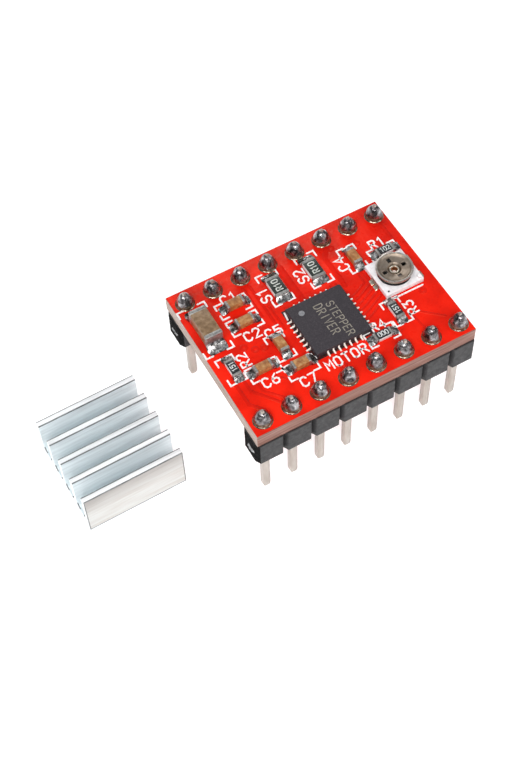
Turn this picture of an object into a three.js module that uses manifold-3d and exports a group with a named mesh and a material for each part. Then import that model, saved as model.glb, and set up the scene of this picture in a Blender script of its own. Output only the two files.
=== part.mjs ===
// Stepper driver module: a small circuit board on two rows of header pins, with its driver chip,
// a current-limit trimmer, chip capacitors and resistors, and the loose finned heat sink that
// goes on the chip. Millimetres, +Z up. The pin tips and the heat sink stand on z = 0.

import * as THREE from "three";
import { mergeVertices } from "three/addons/utils/BufferGeometryUtils.js";
import Module from "manifold-3d";

const wasm = await Module();
wasm.setup();

// ---------------------------------------------------------------- driving dimensions

const FIT_GAP = 0.01; // clearance between pieces that are pressed or soldered together
const CUT_OVER = 0.5; // how far a cutting tool runs past the face that it opens

// header rows: standard 2.54 mm pitch
const PITCH = 2.54;
const PINS_PER_ROW = 8;
const ROW_SPACING = 12.7;
const PIN_SIDE = 0.64;
const PIN_TIP_SIDE = 0.34;
const PIN_TIP_LENGTH = 0.45;
const STRIP_HEIGHT = 2.54;
const STRIP_DEPTH = 2.54;
const STRIP_BOTTOM = 6.0;
const NOTCH_WIDTH = 0.25;
const NOTCH_DEPTH = 0.45;
const STUB_REACH = 0.2;
const STUB_WIDTH = 1.3;
const STUB_HEIGHT = 1.1;

// circuit board
const BOARD_X = 6.5; // middle of the pin rows; the heat sink lies on the other side of the origin
const BOARD_LENGTH = 19.8;
const BOARD_WIDTH = 15.1;
const OUTLINE_X = -0.11; // the routed outline isn't quite centred on the pins
const OUTLINE_Y = 0.08;
const BOARD_THICKNESS = 1.4;
const BOARD_BOTTOM = STRIP_BOTTOM + STRIP_HEIGHT;
const BOARD_TOP = BOARD_BOTTOM + BOARD_THICKNESS;
const HOLE_RADIUS = 0.52;
const PIN_ABOVE_BOARD = 1.45;
const PIN_TOP = BOARD_TOP + PIN_ABOVE_BOARD;

// solder joint: a barrel in the hole under a cone round the pin
const CONE_FOOT_RADIUS = 0.8;
const CONE_NECK_RADIUS = 0.66;
const CONE_NECK_HEIGHT = 0.5;
const CONE_TOP_RADIUS = 0.52;
const CONE_HEIGHT = 1.2;

// driver chip, placed from the middle of the pin rows
const CHIP_X = 0.05;
const CHIP_Y = -1.05;
const CHIP_SIDE = 5.0;
const CHIP_HEIGHT = 0.55;
const CHIP_PAD_SIDE = 3.15;
const CHIP_PAD_THICKNESS = 0.15;
const DIE_SIDE = 2.3;
const DIE_THICKNESS = 0.18;

// trimmer, placed from the middle of the pin rows; heights are above the board
const TRIMMER_X = 7.0;
const TRIMMER_Y = 0.22;
const TRIMMER_LENGTH = 3.5;
const TRIMMER_WIDTH = 3.45;
const TRIMMER_FLOOR = 0.06;
const TRIMMER_BASE_TOP = 0.55;
const EYELET_RADIUS = 0.25;
const EYELET_BORE_RADIUS = 0.13;
const EYELET_MOUTH_RADIUS = 0.23;
const EYELET_FLANGE_RADIUS = 0.4;
const EYELET_TOP = 0.9;
const EYELET_LIP = 0.08; // thickness of the flared head at its edge
const SHEET = 0.12; // thickness of the rotor's metal and of the eyelet's flange and head
const ROTOR_TOP = 1.2;
const ROTOR_FLOOR_TOP = 1.08;
const ROTOR_RADIUS = 1.55;
const ROTOR_RIM_RADIUS = 1.38; // where the raised rim begins
const ROTOR_FLOOR_RADIUS = 1.22;
const ROTOR_WELL_RADIUS = 0.58; // the floor dips round the eyelet
const ROTOR_HUB_RADIUS = 0.44;
const ROTOR_BORE_RADIUS = 0.29;
const SLOT_WIDTH = 0.32;
const SLOT_INNER_RADIUS = 0.68;
const SLOT_OUTER_RADIUS = 1.08;
const WIPER_WIDTH = 0.5;
const WIPER_SHEET = 0.07;
const WIPER_INNER_RADIUS = 0.68;
const WIPER_OUTER_RADIUS = 1.26;
const WIPER_FOOT = 0.2; // length of the part that lies on the track
const TERMINAL_PLATE = 0.12;
const TERMINAL_FOOT = 0.5;
const STOP_SIDE = 0.28;
const STOP_HEIGHT = 0.25;

// heat sink with its tape, lying beside the board
const SINK_X = -12.38;
const SINK_Y = 1.35;
const SINK_TURN = THREE.MathUtils.degToRad(1.0);
const SINK_LENGTH = 8.8; // along the fins
const SINK_WIDTH = 8.65; // across the fins
const SINK_TOP = 4.75;
const SINK_BASE_THICKNESS = 1.0;
const FIN_COUNT = 5;
const FIN_THICKNESS = 0.56;
const FIN_CORNER_RADIUS = 0.14;
const CHANNEL_CORNER_RADIUS = 0.42;
const TAPE_THICKNESS = 0.15;
const TAPE_MARGIN = 0.1;

// chip parts by case size: length, width, height, length of each metal end cap
const CASE_BIG_CAPACITOR = { length: 3.05, width: 1.5, height: 1.4, cap: 0.4 };
const CASE_CAPACITOR = { length: 1.6, width: 0.78, height: 0.7, cap: 0.26 };
const CASE_RESISTOR = { length: 1.6, width: 0.8, height: 0.45, cap: 0.25 };
const CASE_SENSE_RESISTOR = { length: 2.0, width: 1.25, height: 0.5, cap: 0.3 };
const CAP_PROUD = 0.03; // how far an end cap stands out from the body between the caps

// chip parts by name: place from the middle of the pin rows and whether the length runs along Y
const CAPACITORS = [
  { name: "capacitor_c1", size: CASE_CAPACITOR, x: -5.55, y: 4.13, alongY: false },
  { name: "capacitor_c2", size: CASE_CAPACITOR, x: -5.7, y: 2.2, alongY: false },
  { name: "capacitor_c3", size: CASE_BIG_CAPACITOR, x: -8.7, y: 3.08, alongY: true },
  { name: "capacitor_c4", size: CASE_CAPACITOR, x: 5.08, y: 3.3, alongY: true },
  { name: "capacitor_c5", size: CASE_CAPACITOR, x: -4.32, y: -1.15, alongY: true },
  { name: "capacitor_c6", size: CASE_CAPACITOR, x: -6.6, y: -2.35, alongY: false },
  { name: "capacitor_c7", size: CASE_CAPACITOR, x: -3.87, y: -3.5, alongY: false },
];
const RESISTORS = [
  { name: "resistor_r1", size: CASE_RESISTOR, x: 7.68, y: 2.7, alongY: false },
  { name: "resistor_r2", size: CASE_RESISTOR, x: -8.62, y: -1.15, alongY: true },
  { name: "resistor_r3", size: CASE_RESISTOR, x: 5.24, y: -2.85, alongY: true },
  { name: "resistor_r4", size: CASE_RESISTOR, x: 3.1, y: -4.36, alongY: false },
  { name: "sense_resistor_s1", size: CASE_SENSE_RESISTOR, x: -1.78, y: 3.93, alongY: true },
  { name: "sense_resistor_s2", size: CASE_SENSE_RESISTOR, x: 1.66, y: 3.97, alongY: true },
];

// ---------------------------------------------------------------- finishes

function finish(color, roughness, metalness) {
  return new THREE.MeshStandardMaterial({ color, roughness, metalness });
}

const FINISH = {
  solderMask: finish(0xe3170a, 0.3, 0.0),
  headerPlastic: finish(0x34363a, 0.55, 0.0),
  tinnedPin: finish(0xc9c2b4, 0.4, 0.9),
  solder: finish(0x8f8f92, 0.3, 0.95),
  mouldCompound: finish(0x2b2b30, 0.6, 0.0),
  copperPad: finish(0xb87a4b, 0.35, 1.0),
  silicon: finish(0x4a4f5a, 0.2, 0.3),
  ceramicTan: finish(0x9c7f52, 0.5, 0.0),
  ceramicBlack: finish(0x202422, 0.35, 0.0),
  ceramicWhite: finish(0xe8e6e0, 0.5, 0.0),
  brass: finish(0xb98a45, 0.3, 1.0),
  steel: finish(0xa9a59c, 0.3, 1.0),
  aluminium: finish(0xc7d0d6, 0.35, 1.0),
  tape: finish(0x8fb2cf, 0.8, 0.0),
};

// ---------------------------------------------------------------- solids

// Shared corners become one vertex, and triangles that shrink to a line are left out.
function weld(geometry) {
  const bare = geometry.clone();
  bare.deleteAttribute("normal");
  bare.deleteAttribute("uv");
  const merged = mergeVertices(bare, 1e-5);
  const index = Array.from(merged.index.array);
  const kept = [];
  for (let i = 0; i < index.length; i += 3) {
    const [a, b, c] = index.slice(i, i + 3);
    if (a !== b && b !== c && c !== a) kept.push(a, b, c);
  }
  merged.setIndex(kept);
  return merged;
}

function solidOf(geometry) {
  const welded = weld(geometry);
  return new wasm.Manifold(
    new wasm.Mesh({
      numProp: 3,
      vertProperties: new Float32Array(welded.attributes.position.array),
      triVerts: new Uint32Array(welded.index.array),
    }),
  );
}

function geometryOf(solid) {
  const mesh = solid.getMesh();
  const geometry = new THREE.BufferGeometry();
  geometry.setAttribute("position", new THREE.BufferAttribute(mesh.vertProperties, 3));
  geometry.setIndex(new THREE.BufferAttribute(mesh.triVerts, 1));
  geometry.computeVertexNormals();
  return geometry;
}

function cut(geometry, ...tools) {
  return geometryOf(tools.reduce((solid, tool) => solid.subtract(solidOf(tool)), solidOf(geometry)));
}

function join(geometry, ...others) {
  return geometryOf(others.reduce((solid, other) => solid.add(solidOf(other)), solidOf(geometry)));
}

// A box from its centre in x and y and its bottom and top in z.
function block(x, y, lengthX, lengthY, bottom, top) {
  const geometry = new THREE.BoxGeometry(lengthX, lengthY, top - bottom);
  return geometry.translate(x, y, (bottom + top) / 2);
}

// A solid of revolution about Z: the profile's points are [radius, height], counter-clockwise
// in that plane, so that the faces point out.
function revolve(profile, segments) {
  const points = profile.map(([radius, height]) => new THREE.Vector2(radius, height));
  return weld(new THREE.LatheGeometry(points, segments)).rotateX(Math.PI / 2);
}

function cylinder(radius, bottom, top, segments) {
  return revolve([[0, bottom], [radius, bottom], [radius, top], [0, top]], segments);
}

function flatExtrude(shape, bottom, top, curveSegments = 12) {
  const options = { depth: top - bottom, bevelEnabled: false, curveSegments };
  return weld(new THREE.ExtrudeGeometry(shape, options)).translate(0, 0, bottom);
}

const assembly = new THREE.Group();
const board = new THREE.Group();
board.position.set(BOARD_X, 0, 0);
assembly.add(board);

function addPart(parent, name, geometry, material, x = 0, y = 0, z = 0) {
  const mesh = new THREE.Mesh(geometry, material);
  mesh.name = name;
  mesh.position.set(x, y, z);
  parent.add(mesh);
  return mesh;
}

// ---------------------------------------------------------------- board and headers

const ROWS = [
  { name: "front", y: -ROW_SPACING / 2 },
  { name: "back", y: ROW_SPACING / 2 },
];

function pinX(index) {
  return (index - (PINS_PER_ROW - 1) / 2) * PITCH;
}

function boardPlate() {
  const drills = [];
  for (const row of ROWS) {
    for (let i = 0; i < PINS_PER_ROW; i += 1) {
      const drill = cylinder(HOLE_RADIUS, BOARD_BOTTOM - CUT_OVER, BOARD_TOP + CUT_OVER, 12);
      drills.push(drill.translate(pinX(i), row.y, 0));
    }
  }
  const plate = block(OUTLINE_X, OUTLINE_Y, BOARD_LENGTH, BOARD_WIDTH, BOARD_BOTTOM, BOARD_TOP);
  return cut(plate, ...drills);
}

// Eight octagonal blocks in a row, square holes for the pins, and the rough stubs at both ends
// where the strip was snapped off a longer one.
function headerStrip() {
  const outline = new THREE.Shape();
  const half = STRIP_DEPTH / 2;
  const starts = Array.from({ length: PINS_PER_ROW }, (_, i) => pinX(i) - PITCH / 2);
  outline.moveTo(starts[0], -half + NOTCH_DEPTH);
  for (const start of starts) {
    outline.lineTo(start + NOTCH_WIDTH, -half);
    outline.lineTo(start + PITCH - NOTCH_WIDTH, -half);
    outline.lineTo(start + PITCH, -half + NOTCH_DEPTH);
  }
  for (const start of starts.reverse()) {
    outline.lineTo(start + PITCH, half - NOTCH_DEPTH);
    outline.lineTo(start + PITCH - NOTCH_WIDTH, half);
    outline.lineTo(start + NOTCH_WIDTH, half);
  }
  outline.lineTo(starts.at(-1), half - NOTCH_DEPTH);
  outline.closePath();
  const length = PINS_PER_ROW * PITCH + 2 * STUB_REACH;
  const middle = STRIP_HEIGHT / 2;
  const bar = block(0, 0, length, STUB_WIDTH, middle - STUB_HEIGHT / 2, middle + STUB_HEIGHT / 2);
  const opening = PIN_SIDE + 2 * FIT_GAP;
  const holes = Array.from({ length: PINS_PER_ROW }, (_, i) =>
    block(pinX(i), 0, opening, opening, -CUT_OVER, STRIP_HEIGHT + CUT_OVER),
  );
  return cut(join(flatExtrude(outline, 0, STRIP_HEIGHT), bar), ...holes);
}

// A square bar whose ends narrow to a smaller square.
function pinBar() {
  const corner = PIN_SIDE / Math.SQRT2;
  const tip = PIN_TIP_SIDE / Math.SQRT2;
  const profile = [
    [0, 0],
    [tip, 0],
    [corner, PIN_TIP_LENGTH],
    [corner, PIN_TOP - PIN_TIP_LENGTH],
    [tip, PIN_TOP],
    [0, PIN_TOP],
  ];
  return revolve(profile, 4).rotateZ(Math.PI / 4);
}

// The profile starts at the bottom of the barrel, with z = 0 at the board's top face.
function solderJoint() {
  const barrel = HOLE_RADIUS - FIT_GAP;
  const profile = [
    [0, -BOARD_THICKNESS],
    [barrel, -BOARD_THICKNESS],
    [barrel, 0],
    [CONE_FOOT_RADIUS, 0],
    [CONE_NECK_RADIUS, CONE_NECK_HEIGHT],
    [CONE_TOP_RADIUS, CONE_HEIGHT],
    [0, CONE_HEIGHT],
  ];
  const opening = PIN_SIDE + 2 * FIT_GAP;
  const bottom = -BOARD_THICKNESS - CUT_OVER;
  return cut(revolve(profile, 12), block(0, 0, opening, opening, bottom, CONE_HEIGHT + CUT_OVER));
}

function addBoardAndHeaders() {
  addPart(board, "circuit_board", boardPlate(), FINISH.solderMask);
  for (const row of ROWS) {
    addPart(board, `header_strip_${row.name}`, headerStrip(), FINISH.headerPlastic, 0, row.y, STRIP_BOTTOM);
    for (let i = 0; i < PINS_PER_ROW; i += 1) {
      const label = `${row.name}_${i + 1}`;
      addPart(board, `header_pin_${label}`, pinBar(), FINISH.tinnedPin, pinX(i), row.y, 0);
      addPart(board, `solder_joint_${label}`, solderJoint(), FINISH.solder, pinX(i), row.y, BOARD_TOP);
    }
  }
}

// ---------------------------------------------------------------- driver chip

// The body is open underneath: the die and the copper pad that it sits on fill the opening.
function addChip() {
  const padTop = CHIP_PAD_THICKNESS;
  const dieTop = padTop + DIE_THICKNESS;
  const padPocket = CHIP_PAD_SIDE + 2 * FIT_GAP;
  const diePocket = DIE_SIDE + 2 * FIT_GAP;
  const body = cut(
    block(0, 0, CHIP_SIDE, CHIP_SIDE, 0, CHIP_HEIGHT),
    block(0, 0, padPocket, padPocket, -CUT_OVER, padTop + FIT_GAP),
    block(0, 0, diePocket, diePocket, -CUT_OVER, dieTop + 2 * FIT_GAP),
  );
  const pad = block(0, 0, CHIP_PAD_SIDE, CHIP_PAD_SIDE, 0, padTop);
  const die = block(0, 0, DIE_SIDE, DIE_SIDE, padTop + FIT_GAP, dieTop + FIT_GAP);
  addPart(board, "chip_body", body, FINISH.mouldCompound, CHIP_X, CHIP_Y, BOARD_TOP);
  addPart(board, "chip_thermal_pad", pad, FINISH.copperPad, CHIP_X, CHIP_Y, BOARD_TOP);
  addPart(board, "chip_die", die, FINISH.silicon, CHIP_X, CHIP_Y, BOARD_TOP);
}

// ---------------------------------------------------------------- chip capacitors and resistors

// A body with a slightly larger metal cap at each end, its length along X.
function chipPart({ length, width, height, cap }) {
  const capX = (length - cap) / 2;
  const middleWidth = width - 2 * CAP_PROUD;
  return join(
    block(0, 0, length - cap, middleWidth, CAP_PROUD, height - CAP_PROUD),
    block(-capX, 0, cap, width, 0, height),
    block(capX, 0, cap, width, 0, height),
  );
}

function addChipParts(list, material) {
  for (const { name, size, x, y, alongY } of list) {
    const part = addPart(board, name, chipPart(size), material, x, y, BOARD_TOP);
    part.rotation.z = alongY ? Math.PI / 2 : 0;
  }
}

// ---------------------------------------------------------------- trimmer

// Ceramic base with a hole for the eyelet, recesses for the terminals and a raised stop.
function trimmerBase() {
  const hole = cylinder(EYELET_RADIUS + 2 * FIT_GAP, -CUT_OVER, TRIMMER_BASE_TOP + CUT_OVER, 24);
  const stopX = TRIMMER_LENGTH / 2 - STOP_SIDE;
  const stopY = -TRIMMER_WIDTH / 2 + STOP_SIDE;
  const stopTop = TRIMMER_BASE_TOP + STOP_HEIGHT;
  const plate = join(
    block(0, 0, TRIMMER_LENGTH, TRIMMER_WIDTH, TRIMMER_FLOOR, TRIMMER_BASE_TOP),
    block(stopX, stopY, STOP_SIDE, STOP_SIDE, TRIMMER_FLOOR, stopTop),
  );
  const pocketTop = TRIMMER_FLOOR + SHEET;
  const flangePocket = cylinder(EYELET_FLANGE_RADIUS + FIT_GAP, -CUT_OVER, pocketTop, 24);
  const recesses = TERMINALS.map(({ side, y, width }) => {
    const depth = TERMINAL_PLATE + FIT_GAP;
    const x = side * (TRIMMER_LENGTH / 2 - depth / 2 + CUT_OVER / 2);
    const height = TRIMMER_BASE_TOP - TERMINAL_PLATE;
    return block(x, y, depth + CUT_OVER, width + 2 * FIT_GAP, -CUT_OVER, height);
  });
  return cut(plate, hole, flangePocket, ...recesses);
}

// One terminal on the left edge for the wiper, two on the right for the ends of the track.
const TERMINALS = [
  { name: "trimmer_terminal_wiper", side: -1, y: 0.0, width: 1.2 },
  { name: "trimmer_terminal_front", side: 1, y: -0.95, width: 0.8 },
  { name: "trimmer_terminal_back", side: 1, y: 0.95, width: 0.8 },
];

// A thin plate up the side of the base with a foot that runs under it.
function trimmerTerminal(side, width) {
  const outer = side * (TRIMMER_LENGTH / 2);
  const plateX = outer - (side * TERMINAL_PLATE) / 2;
  const footX = outer - (side * TERMINAL_FOOT) / 2;
  const footTop = TRIMMER_FLOOR - FIT_GAP;
  const plateTop = TRIMMER_BASE_TOP - TERMINAL_PLATE - FIT_GAP;
  return join(
    block(plateX, 0, TERMINAL_PLATE, width, 0, plateTop),
    block(footX, 0, TERMINAL_FOOT, width, 0, footTop),
  );
}

// A hollow rivet: a flange under the base, a tube through it, and a flared head over the rotor.
function trimmerEyelet() {
  const floor = TRIMMER_FLOOR;
  const flangeTop = floor + SHEET - FIT_GAP;
  const headBottom = EYELET_TOP - SHEET;
  const profile = [
    [EYELET_BORE_RADIUS, floor],
    [EYELET_FLANGE_RADIUS, floor],
    [EYELET_FLANGE_RADIUS, flangeTop],
    [EYELET_RADIUS, flangeTop],
    [EYELET_RADIUS, headBottom],
    [EYELET_FLANGE_RADIUS, EYELET_TOP - EYELET_LIP],
    [EYELET_FLANGE_RADIUS, EYELET_TOP],
    [EYELET_MOUTH_RADIUS, EYELET_TOP],
    [EYELET_BORE_RADIUS, headBottom],
    [EYELET_BORE_RADIUS, floor],
  ];
  return revolve(profile, 24);
}

// A dished sheet-metal disc: a raised rim, a floor with a cross slot for a screwdriver, and a
// well that goes down to the hub under the eyelet's head.
function trimmerRotor() {
  const hubTop = EYELET_TOP - SHEET - 3 * FIT_GAP;
  const top = [
    [ROTOR_BORE_RADIUS, hubTop],
    [ROTOR_HUB_RADIUS, hubTop],
    [ROTOR_WELL_RADIUS, ROTOR_FLOOR_TOP],
    [ROTOR_FLOOR_RADIUS, ROTOR_FLOOR_TOP],
    [ROTOR_RIM_RADIUS, ROTOR_TOP],
    [ROTOR_RADIUS, ROTOR_TOP],
  ];
  const sideways = [0, SHEET * 0.7, SHEET * 0.7, 0, 0, 0];
  const bottom = top.map(([radius, height], i) => [radius + sideways[i], height - SHEET]);
  const profile = [...bottom, ...top.reverse(), bottom[0]];
  const slotBottom = ROTOR_FLOOR_TOP - SHEET - CUT_OVER;
  const armLength = SLOT_OUTER_RADIUS - SLOT_INNER_RADIUS;
  const armMiddle = (SLOT_OUTER_RADIUS + SLOT_INNER_RADIUS) / 2;
  const arms = [0, 1, 2, 3].map((quarter) => {
    const arm = block(armMiddle, 0, armLength, SLOT_WIDTH, slotBottom, ROTOR_TOP + CUT_OVER);
    return arm.rotateZ((quarter * Math.PI) / 2);
  });
  return cut(revolve(profile, 32), ...arms);
}

// A springy leaf that slopes from the rotor's floor down to the track on the base.
function trimmerWiper() {
  const leafTop = ROTOR_FLOOR_TOP - SHEET - FIT_GAP;
  const leafBottom = TRIMMER_BASE_TOP + 2 * FIT_GAP;
  const inner = WIPER_INNER_RADIUS;
  const outer = WIPER_OUTER_RADIUS;
  const heel = outer - WIPER_FOOT;
  const bend = inner + 0.14;
  const leaf = new THREE.Shape();
  leaf.moveTo(inner, leafTop - WIPER_SHEET);
  leaf.lineTo(bend, leafTop - WIPER_SHEET);
  leaf.lineTo(heel, leafBottom);
  leaf.lineTo(outer, leafBottom);
  leaf.lineTo(outer, leafBottom + WIPER_SHEET);
  leaf.lineTo(heel + WIPER_SHEET / 2, leafBottom + WIPER_SHEET);
  leaf.lineTo(bend + WIPER_SHEET / 2, leafTop);
  leaf.lineTo(inner, leafTop);
  leaf.closePath();
  return flatExtrude(leaf, -WIPER_WIDTH / 2, WIPER_WIDTH / 2)
    .rotateX(Math.PI / 2)
    .rotateZ(Math.PI / 4);
}

function addTrimmer() {
  const place = [TRIMMER_X, TRIMMER_Y, BOARD_TOP];
  addPart(board, "trimmer_base", trimmerBase(), FINISH.ceramicWhite, ...place);
  addPart(board, "trimmer_eyelet", trimmerEyelet(), FINISH.brass, ...place);
  addPart(board, "trimmer_rotor", trimmerRotor(), FINISH.steel, ...place);
  addPart(board, "trimmer_wiper", trimmerWiper(), FINISH.brass, ...place);
  for (const { name, side, y, width } of TERMINALS) {
    addPart(board, name, trimmerTerminal(side, width), FINISH.solder, TRIMMER_X, TRIMMER_Y + y, BOARD_TOP);
  }
}

// ---------------------------------------------------------------- heat sink

// The section across the fins: y across, z up from the underside of the base.
function sinkSection() {
  const height = SINK_TOP - TAPE_THICKNESS;
  const half = SINK_WIDTH / 2;
  const step = (SINK_WIDTH - FIN_THICKNESS) / (FIN_COUNT - 1);
  const round = FIN_CORNER_RADIUS;
  const dip = CHANNEL_CORNER_RADIUS;
  const section = new THREE.Shape();
  section.moveTo(-half, 0);
  section.lineTo(half, 0);
  for (let i = FIN_COUNT - 1; i >= 0; i -= 1) {
    const left = -half + i * step;
    const right = left + FIN_THICKNESS;
    section.absarc(right - round, height - round, round, 0, Math.PI / 2);
    section.absarc(left + round, height - round, round, Math.PI / 2, Math.PI);
    if (i === 0) break;
    const next = left - step + FIN_THICKNESS;
    section.absarc(left - dip, SINK_BASE_THICKNESS + dip, dip, 0, -Math.PI / 2, true);
    section.absarc(next + dip, SINK_BASE_THICKNESS + dip, dip, -Math.PI / 2, -Math.PI, true);
  }
  section.closePath();
  return section;
}

function addHeatSink() {
  const sink = new THREE.Group();
  sink.position.set(SINK_X, SINK_Y, 0);
  sink.rotation.z = SINK_TURN;
  assembly.add(sink);
  const alongX = new THREE.Matrix4().makeBasis(
    new THREE.Vector3(0, 1, 0),
    new THREE.Vector3(0, 0, 1),
    new THREE.Vector3(1, 0, 0),
  );
  const fins = flatExtrude(sinkSection(), -SINK_LENGTH / 2, SINK_LENGTH / 2, 3).applyMatrix4(alongX);
  const tapeLength = SINK_LENGTH - 2 * TAPE_MARGIN;
  const tapeWidth = SINK_WIDTH - 2 * TAPE_MARGIN;
  const tape = block(0, 0, tapeLength, tapeWidth, 0, TAPE_THICKNESS);
  addPart(sink, "heat_sink", fins, FINISH.aluminium, 0, 0, TAPE_THICKNESS);
  addPart(sink, "thermal_tape", tape, FINISH.tape);
}

addBoardAndHeaders();
addChip();
addChipParts(CAPACITORS, FINISH.ceramicTan);
addChipParts(RESISTORS, FINISH.ceramicBlack);
addTrimmer();
addHeatSink();

export default assembly;
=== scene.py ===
"""Stepper driver module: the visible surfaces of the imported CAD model, and the studio round it."""

import math
import random

import bmesh
import bpy
from mathutils import Matrix, Vector


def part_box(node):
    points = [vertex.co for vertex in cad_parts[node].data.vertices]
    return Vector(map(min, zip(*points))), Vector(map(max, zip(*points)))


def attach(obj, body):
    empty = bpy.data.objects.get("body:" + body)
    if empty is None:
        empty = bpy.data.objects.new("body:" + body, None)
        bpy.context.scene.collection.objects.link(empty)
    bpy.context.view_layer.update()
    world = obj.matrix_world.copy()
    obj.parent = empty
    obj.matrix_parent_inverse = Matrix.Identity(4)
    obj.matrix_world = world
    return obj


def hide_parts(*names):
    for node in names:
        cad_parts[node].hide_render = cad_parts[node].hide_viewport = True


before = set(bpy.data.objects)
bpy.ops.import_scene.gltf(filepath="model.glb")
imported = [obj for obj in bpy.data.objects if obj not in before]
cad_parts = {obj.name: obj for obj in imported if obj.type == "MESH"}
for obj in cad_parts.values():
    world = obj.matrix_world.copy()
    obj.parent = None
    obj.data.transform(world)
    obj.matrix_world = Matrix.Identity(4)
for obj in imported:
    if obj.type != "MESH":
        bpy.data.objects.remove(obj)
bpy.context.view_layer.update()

MM = 0.001  # every size below is in millimetres, and Blender's unit is the metre
UP = Vector((0, 0, 1))

# ---- places, from the CAD frame


def box_mm(node):
    low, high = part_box(node)
    return low / MM, high / MM


def middle(node):
    low, high = box_mm(node)
    return (low + high) / 2


BOARD_LOW, BOARD_HIGH = box_mm("circuit_board")
TOP = BOARD_HIGH.z
UNDER = BOARD_LOW.z
PINS_MIDDLE = (middle("header_strip_front") + middle("header_strip_back")) / 2
ROWS = ("front", "back")
PINS_PER_ROW = 8
PITCH = 2.54


def at(x, y, height=0.0):
    """A place on the board: x and y from the middle of the pin rows, height above its top."""
    return Vector((PINS_MIDDLE.x + x, PINS_MIDDLE.y + y, TOP + height))


# ---- materials

WAVE_SCALE = 0.31  # the wave texture's scale at which its waves are about one unit apart
NOISE_LOW = 0.3  # most values of a noise texture lie between these two
NOISE_HIGH = 0.7


def fill_ramp(ramp, stops):
    """Gives a colour ramp its stops, which are (position, colour)."""
    band = ramp.color_ramp
    while len(band.elements) < len(stops):
        band.elements.new(0.5)
    for element, (position, color) in zip(band.elements, stops):
        element.position = position
        element.color = (*color, 1.0)


class Nodes:
    """A procedural material being built: a Principled shader and what feeds it."""

    def __init__(self, name, color, roughness, metallic=0.0, **sockets):
        self.material = bpy.data.materials.new(name)
        self.material.use_nodes = True
        self.tree = self.material.node_tree
        self.shader = self.tree.nodes["Principled BSDF"]
        sockets.update(Base_Color=(*color, 1.0), Roughness=roughness, Metallic=metallic)
        for socket, value in sockets.items():
            self.shader.inputs[socket.replace("_", " ")].default_value = value
        self.place = self.add("TexCoord").outputs["Object"]
        self.normal = None

    def add(self, kind, feeds=(), **values):
        """A new node: feeds are (input, the output that feeds it), and values are set on inputs."""
        node = self.tree.nodes.new(f"ShaderNode{kind}")
        for entry, output in feeds:
            self.tree.links.new(output, node.inputs[entry])
        for entry, value in values.items():
            node.inputs[entry.replace("_", " ")].default_value = value
        return node

    def feed(self, socket, output):
        self.tree.links.new(output, self.shader.inputs[socket])

    def stretched(self, stretch):
        scale = [s / MM for s in stretch]
        return self.add("Mapping", [("Vector", self.place)], Scale=scale).outputs["Vector"]

    def noise(self, size, detail=3.0, stretch=(1, 1, 1), distortion=0.0):
        """Noise whose blotches are about size millimetres across."""
        place = [("Vector", self.stretched(stretch))]
        node = self.add("TexNoise", place, Scale=1.0 / size, Detail=detail, Distortion=distortion)
        return node.outputs["Fac"]

    def weave(self, size):
        """Two crossed sets of soft waves, like cloth under resin, size millimetres apart."""
        product = self.add("Math")
        product.operation = "MULTIPLY"
        for entry, direction in enumerate(("X", "Y")):
            place = [("Vector", self.stretched((1, 1, 1)))]
            waves = self.add("TexWave", place, Scale=WAVE_SCALE / size, Distortion=0.6)
            waves.bands_direction = direction
            self.tree.links.new(waves.outputs["Fac"], product.inputs[entry])
        return product.outputs[0]

    def colors(self, factor, stops):
        """Colour from a factor, by way of a ramp with these stops."""
        ramp = self.add("ValToRGB", [("Fac", factor)])
        fill_ramp(ramp, stops)
        return ramp.outputs["Color"]

    def axis(self, output, axis):
        return self.add("SeparateXYZ", [("Vector", output)]).outputs[axis]

    def spread(self, factor, low, high, to_low=0.0, to_high=1.0):
        """Maps a factor's range from low to high onto another range, and holds it inside."""
        ends = {"From_Min": low, "From_Max": high, "To_Min": to_low, "To_Max": to_high}
        return self.add("MapRange", [("Value", factor)], **ends).outputs["Result"]

    def level(self, low, high):
        """0 at the height low and 1 at the height high, in millimetres above the ground."""
        return self.spread(self.axis(self.place, "Z"), low * MM, high * MM)

    def sideways(self):
        """1 on faces that look along X and 0 on faces that look along Y or Z."""
        normal = self.add("TexCoord").outputs["Normal"]
        part = self.add("Math", [(0, self.axis(normal, "X"))])
        part.operation = "ABSOLUTE"
        return part.outputs[0]

    def paint(self, factor, stops):
        self.feed("Base Color", self.colors(factor, stops))

    def blend(self, factor, first, second):
        """Colours the surface from first to second as the factor goes from 0 to 1."""
        mix = self.add("Mix")
        mix.data_type = "RGBA"
        for entry, output in ((0, factor), (6, first), (7, second)):  # 6 and 7 are its two colours
            self.tree.links.new(output, mix.inputs[entry])
        self.feed("Base Color", mix.outputs[2])

    def rough(self, factor, low, high):
        """Roughness from low to high over the usual range of a noise."""
        self.feed("Roughness", self.spread(factor, NOISE_LOW, NOISE_HIGH, low, high))

    def bump(self, factor, depth):
        """Relief of depth millimetres, on top of any that is there already."""
        feeds = [("Height", factor)]
        if self.normal:
            feeds.append(("Normal", self.normal))
        self.normal = self.add("Bump", feeds, Strength=1.0, Distance=depth * MM).outputs["Normal"]
        self.feed("Normal", self.normal)


def finish(name, base, roughness, metallic, grain, stops, gloss=(), relief=(), **sockets):
    """A surface coloured by one noise, with others for its gloss and its relief.

    grain is what noise() takes; gloss is (the same, lowest, highest) and relief is (the same, depth).
    """
    n = Nodes(name, base, roughness, metallic, **sockets)
    n.paint(n.noise(*grain), stops)
    if gloss:
        n.rough(n.noise(*gloss[0]), gloss[1], gloss[2])
    if relief:
        n.bump(n.noise(*relief[0]), relief[1])
    return n.material


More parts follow.
